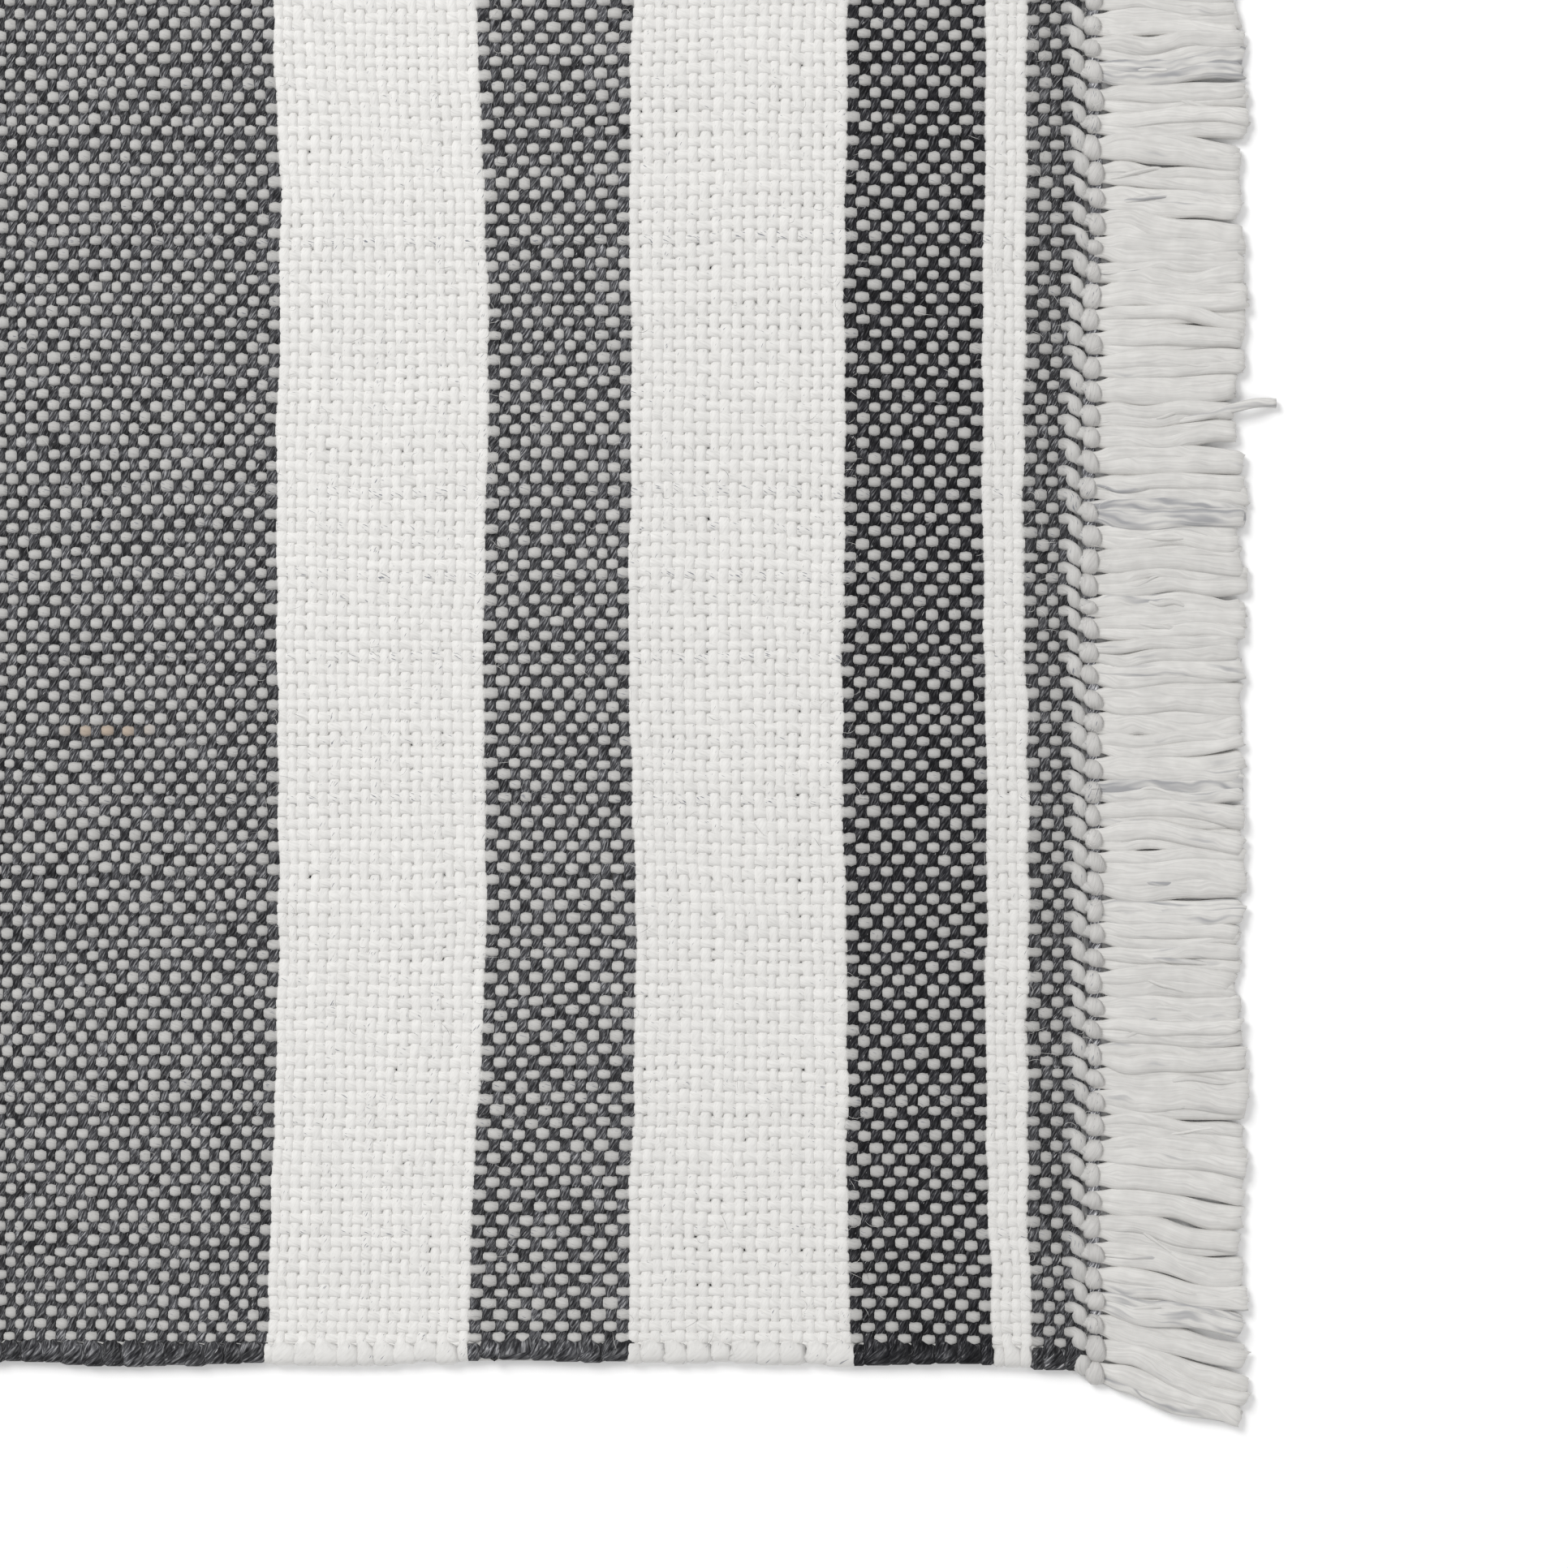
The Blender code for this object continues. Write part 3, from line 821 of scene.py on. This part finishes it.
def make_fuzz(side, side_name, material):
    """Single fibres that have worked loose and lie in arcs on the cloth, half of them across the borders of
    the bands, where the pale ones run into the dark. Each arc is its start plus a turning heading, summed."""
    rng = np.random.default_rng(59 + side)
    borders = np.array(band_edges()[1:])
    near = rng.choice(borders, FIBRES) + rng.normal(0, 2.0 * MM, FIBRES)
    anywhere = rng.uniform(22 * MM, borders[-1], FIBRES)
    at_border = rng.random(FIBRES) < 0.5
    x = np.where(at_border, near, anywhere)
    y = rng.uniform(-HALF_WIDTH + 8 * MM, HALF_WIDTH - 8 * MM, FIBRES)
    heading = np.where(at_border, rng.normal(0, 0.6, FIBRES), rng.uniform(-3.1, 3.1, FIBRES))
    steps = np.arange(6)
    turning = heading[:, None] + rng.normal(0, 0.38, (FIBRES, 1)) * steps
    length = rng.uniform(0.5, 1.2, FIBRES)[:, None] * MM
    path_x = x[:, None] + np.cumsum(length * np.cos(turning), axis=1)
    path_y = y[:, None] + np.cumsum(length * np.sin(turning), axis=1)
    arch = np.sin(np.pi * steps / 5)
    path_z = MID_Z + (2.0 + arch * rng.uniform(0.45, 0.95, (FIBRES, 1))) * MM
    centres = np.stack([side * path_x, path_y, path_z], axis=-1)
    thin = np.full(path_x.shape, FIBRE_THICKNESS / 2) * (0.4 + 0.6 * arch)
    points = sweep(centres, thin, thin, round_section(4, 2), (0.31, 0.95, 0))
    dark = (rng.random(FIBRES) < np.where(at_border, 0.22, 0.45)).astype(float)
    piece = tube_mesh(f"loose_fibres_{side_name}", points, {
        "shade": (dark * rng.uniform(0.6, 1.0, FIBRES))[:, None, None],
    }, material)
    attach(piece, f"{side_name}_half")


# ---- wool


def new_group(name, inputs, outputs):
    """An empty shader node group with its named number sockets: its tree, input node and output node."""
    group = bpy.data.node_groups.new(name, "ShaderNodeTree")
    for direction, keys in (("INPUT", inputs), ("OUTPUT", outputs)):
        for key in keys:
            group.interface.new_socket(name=key, in_out=direction, socket_type="NodeSocketFloat")
    return group, group.nodes.new("NodeGroupInput"), group.nodes.new("NodeGroupOutput")


def node(tree, kind, settings=None, **links):
    """A node with its settings, and its inputs linked from sockets or set to values, by name or number."""
    made = tree.nodes.new(kind)
    for key, value in (settings or {}).items():
        setattr(made, key, value)
    for key, value in links.items():
        socket = made.inputs[int(key[1:])] if key[0] == "_" else made.inputs[key.replace("_", " ")]
        if isinstance(value, bpy.types.NodeSocket):
            tree.links.new(value, socket)
        else:
            socket.default_value = value
    return made


def calculate(tree, operation, first, second):
    """The output of a Math node on two numbers."""
    return node(tree, "ShaderNodeMath", {"operation": operation}, _0=first, _1=second).outputs[0]


def vector_math(tree, operation, first, second):
    """The output of a Vector Math node on two vectors."""
    return node(tree, "ShaderNodeVectorMath", {"operation": operation}, _0=first, _1=second).outputs[0]


def flat_noise(tree, place, **settings):
    """Noise in two dimensions, one unit across."""
    noise = node(tree, "ShaderNodeTexNoise", {"noise_dimensions": "2D"}, Vector=place, Scale=1.0, **settings)
    return noise.outputs[0]


def stretched_noise(tree, place, length, width, **settings):
    """Noise with the given length along the yarn and width across it: the place divided by both."""
    across = calculate(tree, "DIVIDE", 1.0, width)
    along = calculate(tree, "DIVIDE", 1.0, length)
    scale = node(tree, "ShaderNodeCombineXYZ", X=along, Y=across, Z=1.0)
    return flat_noise(tree, vector_math(tree, "MULTIPLY", place, scale.outputs[0]), **settings)


def attribute(tree, name):
    """A point attribute of the mesh, as a number."""
    return node(tree, "ShaderNodeAttribute", {"attribute_name": name}).outputs["Fac"]


def mixed_colour(tree, share, first, second, blend="MIX"):
    """The first colour blended with a share of the second."""
    return node(tree, "ShaderNodeMix", {"data_type": "RGBA", "blend_type": blend}, _0=share, _6=first,
                _7=second).outputs[2]


FIBRE_INPUTS = (
    "Twist", "Fibre Width", "Fibre Length", "Wander",
    "Stray Amount", "Stray Length", "Stray Width", "Stray Softness",
)
FIBRE_OUTPUTS = ("Fibres", "Heather", "Strays")


def fibre_group():
    """Twisted fibres along a yarn. The yarn's map, in millimetres, is moved sideways by slow noise, turned by
    the twist and stretched along the fibres. Noise on it gives the fibres and the sparse stray fibres, and
    slower noise on the map itself gives the heather."""
    tree, group_input, group_output = new_group("twisted_fibres", FIBRE_INPUTS, FIBRE_OUTPUTS)
    given = group_input.outputs
    uv = node(tree, "ShaderNodeUVMap", {"uv_map": "Yarn"}).outputs[0]
    bend = flat_noise(tree, vector_math(tree, "MULTIPLY", uv, (0.11, 0.13, 1.0)), Detail=1.0)
    shift = calculate(tree, "MULTIPLY", calculate(tree, "SUBTRACT", bend, 0.5), given["Wander"])
    sideways = node(tree, "ShaderNodeCombineXYZ", X=0.0, Y=shift, Z=0.0).outputs[0]
    wandered = vector_math(tree, "ADD", uv, sideways)
    turned = node(tree, "ShaderNodeVectorRotate", {"rotation_type": "Z_AXIS"}, Vector=wandered,
                  Angle=given["Twist"]).outputs[0]
    fibres = stretched_noise(tree, turned, given["Fibre Length"], given["Fibre Width"], Detail=2.0,
                             Roughness=0.65)
    heather = flat_noise(tree, vector_math(tree, "MULTIPLY", uv, (0.16, 0.22, 1.0)), Detail=2.0,
                         Roughness=0.6)
    stray = stretched_noise(tree, turned, given["Stray Length"], given["Stray Width"], Detail=1.0,
                            Roughness=0.5)
    amount = node(tree, "ShaderNodeMapRange", {"clamp": False}, Value=given["Stray Amount"], From_Min=0.0,
                  From_Max=1.0, To_Min=0.80, To_Max=0.60).outputs[0]
    edge = calculate(tree, "ADD", amount, given["Stray Softness"])
    strays = node(tree, "ShaderNodeMapRange", Value=stray, From_Min=amount, From_Max=edge, To_Min=0.0,
                  To_Max=1.0).outputs[0]
    for key, value in zip(FIBRE_OUTPUTS, (fibres, heather, strays)):
        tree.links.new(value, group_output.inputs[key])
    return tree


def ramp(tree, value, stops):
    """A colour ramp through grey or coloured stops, each a position and a colour."""
    made = node(tree, "ShaderNodeValToRGB", Fac=value)
    points = made.color_ramp.elements
    while len(points) < len(stops):
        points.new(0.5)
    for point, (place, colour) in zip(points, stops):
        point.position = place
        point.color = (*colour, 1.0)
    return made.outputs[0]


TAN = (0.86, 0.72, 0.60, 1.0)


def wool(name, group, stops, twist, size, wander, heather, stray, stray_share, stray_size, bump, sheen):
    """Wool of one dye. The fibres' colours come from a ramp, changed slowly along the yarn by the heather and
    from yarn to yarn by the tone, with stray fibres of another colour where the fleck attribute is high, and
    tan where the stain attribute is. The fibres' size is their width and length in millimetres, and the stray
    fibres' size is their length, width and softness."""
    material, shader = matt_material(name, 0.95)
    tree = material.node_tree
    share = calculate(tree, "MULTIPLY", attribute(tree, "fleck"), stray_share)
    fibres = node(
        tree, "ShaderNodeGroup", {"node_tree": group}, Twist=twist, Fibre_Width=size[0], Fibre_Length=size[1],
        Wander=wander, Stray_Amount=share, Stray_Length=stray_size[0], Stray_Width=stray_size[1],
        Stray_Softness=stray_size[2],
    ).outputs
    slow = node(tree, "ShaderNodeMapRange", Value=fibres["Heather"], From_Min=0.3, From_Max=0.7,
                To_Min=heather[0], To_Max=heather[1]).outputs[0]
    level = calculate(tree, "MULTIPLY", slow, attribute(tree, "tone"))
    shaded = mixed_colour(tree, 1.0, ramp(tree, fibres["Fibres"], stops), level, "MULTIPLY")
    mixed = mixed_colour(tree, fibres["Strays"], shaded, (*stray, 1.0))
    if name == "warp_wool":
        mixed = mixed_colour(tree, attribute(tree, "stain"), mixed, TAN, "MULTIPLY")
    relief = node(tree, "ShaderNodeBump", Strength=bump, Distance=0.3 * MM, Height=fibres["Fibres"])
    tree.links.new(mixed, shader.inputs["Base Color"])
    tree.links.new(relief.outputs[0], shader.inputs["Normal"])
    shader.inputs["Specular IOR Level"].default_value = 0.15
    shader.inputs["Sheen Weight"].default_value = sheen
    shader.inputs["Sheen Roughness"].default_value = 0.5
    return material


def fuzz_wool():
    """Single fibres: pale where the shade attribute is 0, dark where it is 1."""
    material, shader = matt_material("fuzz_wool", 0.9)
    tree = material.node_tree
    mixed = mixed_colour(tree, attribute(tree, "shade"), (0.72, 0.71, 0.69, 1.0), (0.06, 0.06, 0.065, 1.0))
    tree.links.new(mixed, shader.inputs["Base Color"])
    shader.inputs["Specular IOR Level"].default_value = 0.15
    return material


# The colours that each wool's fibres run through, from the darkest to the lightest, and where each one stands
DYES = {
    "warp": ((0.25, (0.66, 0.65, 0.63)), (0.5, (0.745, 0.735, 0.715)), (0.75, (0.79, 0.78, 0.76))),
    "white": ((0.25, (0.70, 0.69, 0.67)), (0.5, (0.765, 0.755, 0.735)), (0.75, (0.80, 0.79, 0.77))),
    "grey": (
        (0.30, (0.014, 0.014, 0.016)),
        (0.46, (0.042, 0.042, 0.046)),
        (0.58, (0.103, 0.104, 0.110)),
        (0.72, (0.30, 0.30, 0.31)),
    ),
    "charcoal": (
        (0.30, (0.006, 0.006, 0.008)),
        (0.48, (0.021, 0.021, 0.024)),
        (0.62, (0.060, 0.060, 0.065)),
        (0.76, (0.20, 0.20, 0.21)),
    ),
    "header": ((0.25, (0.46, 0.45, 0.44)), (0.5, (0.54, 0.53, 0.515)), (0.75, (0.59, 0.58, 0.565))),
    "fringe": ((0.25, (0.54, 0.53, 0.515)), (0.5, (0.605, 0.595, 0.575)), (0.75, (0.66, 0.65, 0.63))),
}
ASH = (0.22, 0.225, 0.25)
SLATE = (0.42, 0.42, 0.43)
SMOKE = (0.33, 0.33, 0.34)
HAIR = (2.4, 0.3, 0.06)        # size of a stray fibre in spun wool, and in the fringe's roving
STREAK = (16.0, 1.3, 0.3)


def make_wools():
    """One material for each dye, by its name in DYES."""
    group = fibre_group()
    kinds = (
        # dye, material, twist, fibre size, wander, heather, stray fibres, their share and size, bump, sheen
        ("warp", "warp_wool", -0.35, (0.38, 4.0), 1.0, (0.96, 1.03), ASH, 0.75, HAIR, 0.35, 0.3),
        ("white", "white_weft_wool", -0.45, (0.38, 3.0), 1.0, (0.97, 1.02), ASH, 0.7, HAIR, 0.35, 0.3),
        ("grey", "grey_weft_wool", -0.45, (0.36, 3.0), 1.0, (0.55, 1.55), SLATE, 0.5, HAIR, 0.7, 0.05),
        ("charcoal", "charcoal_weft_wool", -0.45, (0.36, 3.0), 1.0, (0.55, 1.55), SLATE, 0.4, HAIR, 0.7,
         0.03),
        ("header", "header_wool", -0.4, (0.38, 5.0), 1.5, (0.95, 1.03), ASH, 0.8, HAIR, 0.4, 0.25),
        ("fringe", "fringe_roving", -0.04, (0.45, 22.0), 2.0, (0.94, 1.04), SMOKE, 2.2, STREAK, 0.3, 0.25),
    )
    return {dye: wool(name, group, DYES[dye], *values) for dye, name, *values in kinds}


# ---- the mat


set_camera()
set_stage()
WOOLS = make_wools()
FUZZ = fuzz_wool()
make_wefts(WOOLS)
make_warps(WOOLS["warp"])
for SIDE, SIDE_NAME in ((-1, "left"), (1, "right")):
    make_hitches(SIDE, SIDE_NAME, WOOLS["header"])
    # a grey tube under the hitches, painted shadow for the holes in the header
    make_painted_hole_shadow(SIDE, SIDE_NAME, WOOLS["grey"])
    make_tassels(SIDE, SIDE_NAME, WOOLS["fringe"])
    make_wisps(SIDE, SIDE_NAME, WOOLS["fringe"])
    make_fuzz(SIDE, SIDE_NAME, FUZZ)
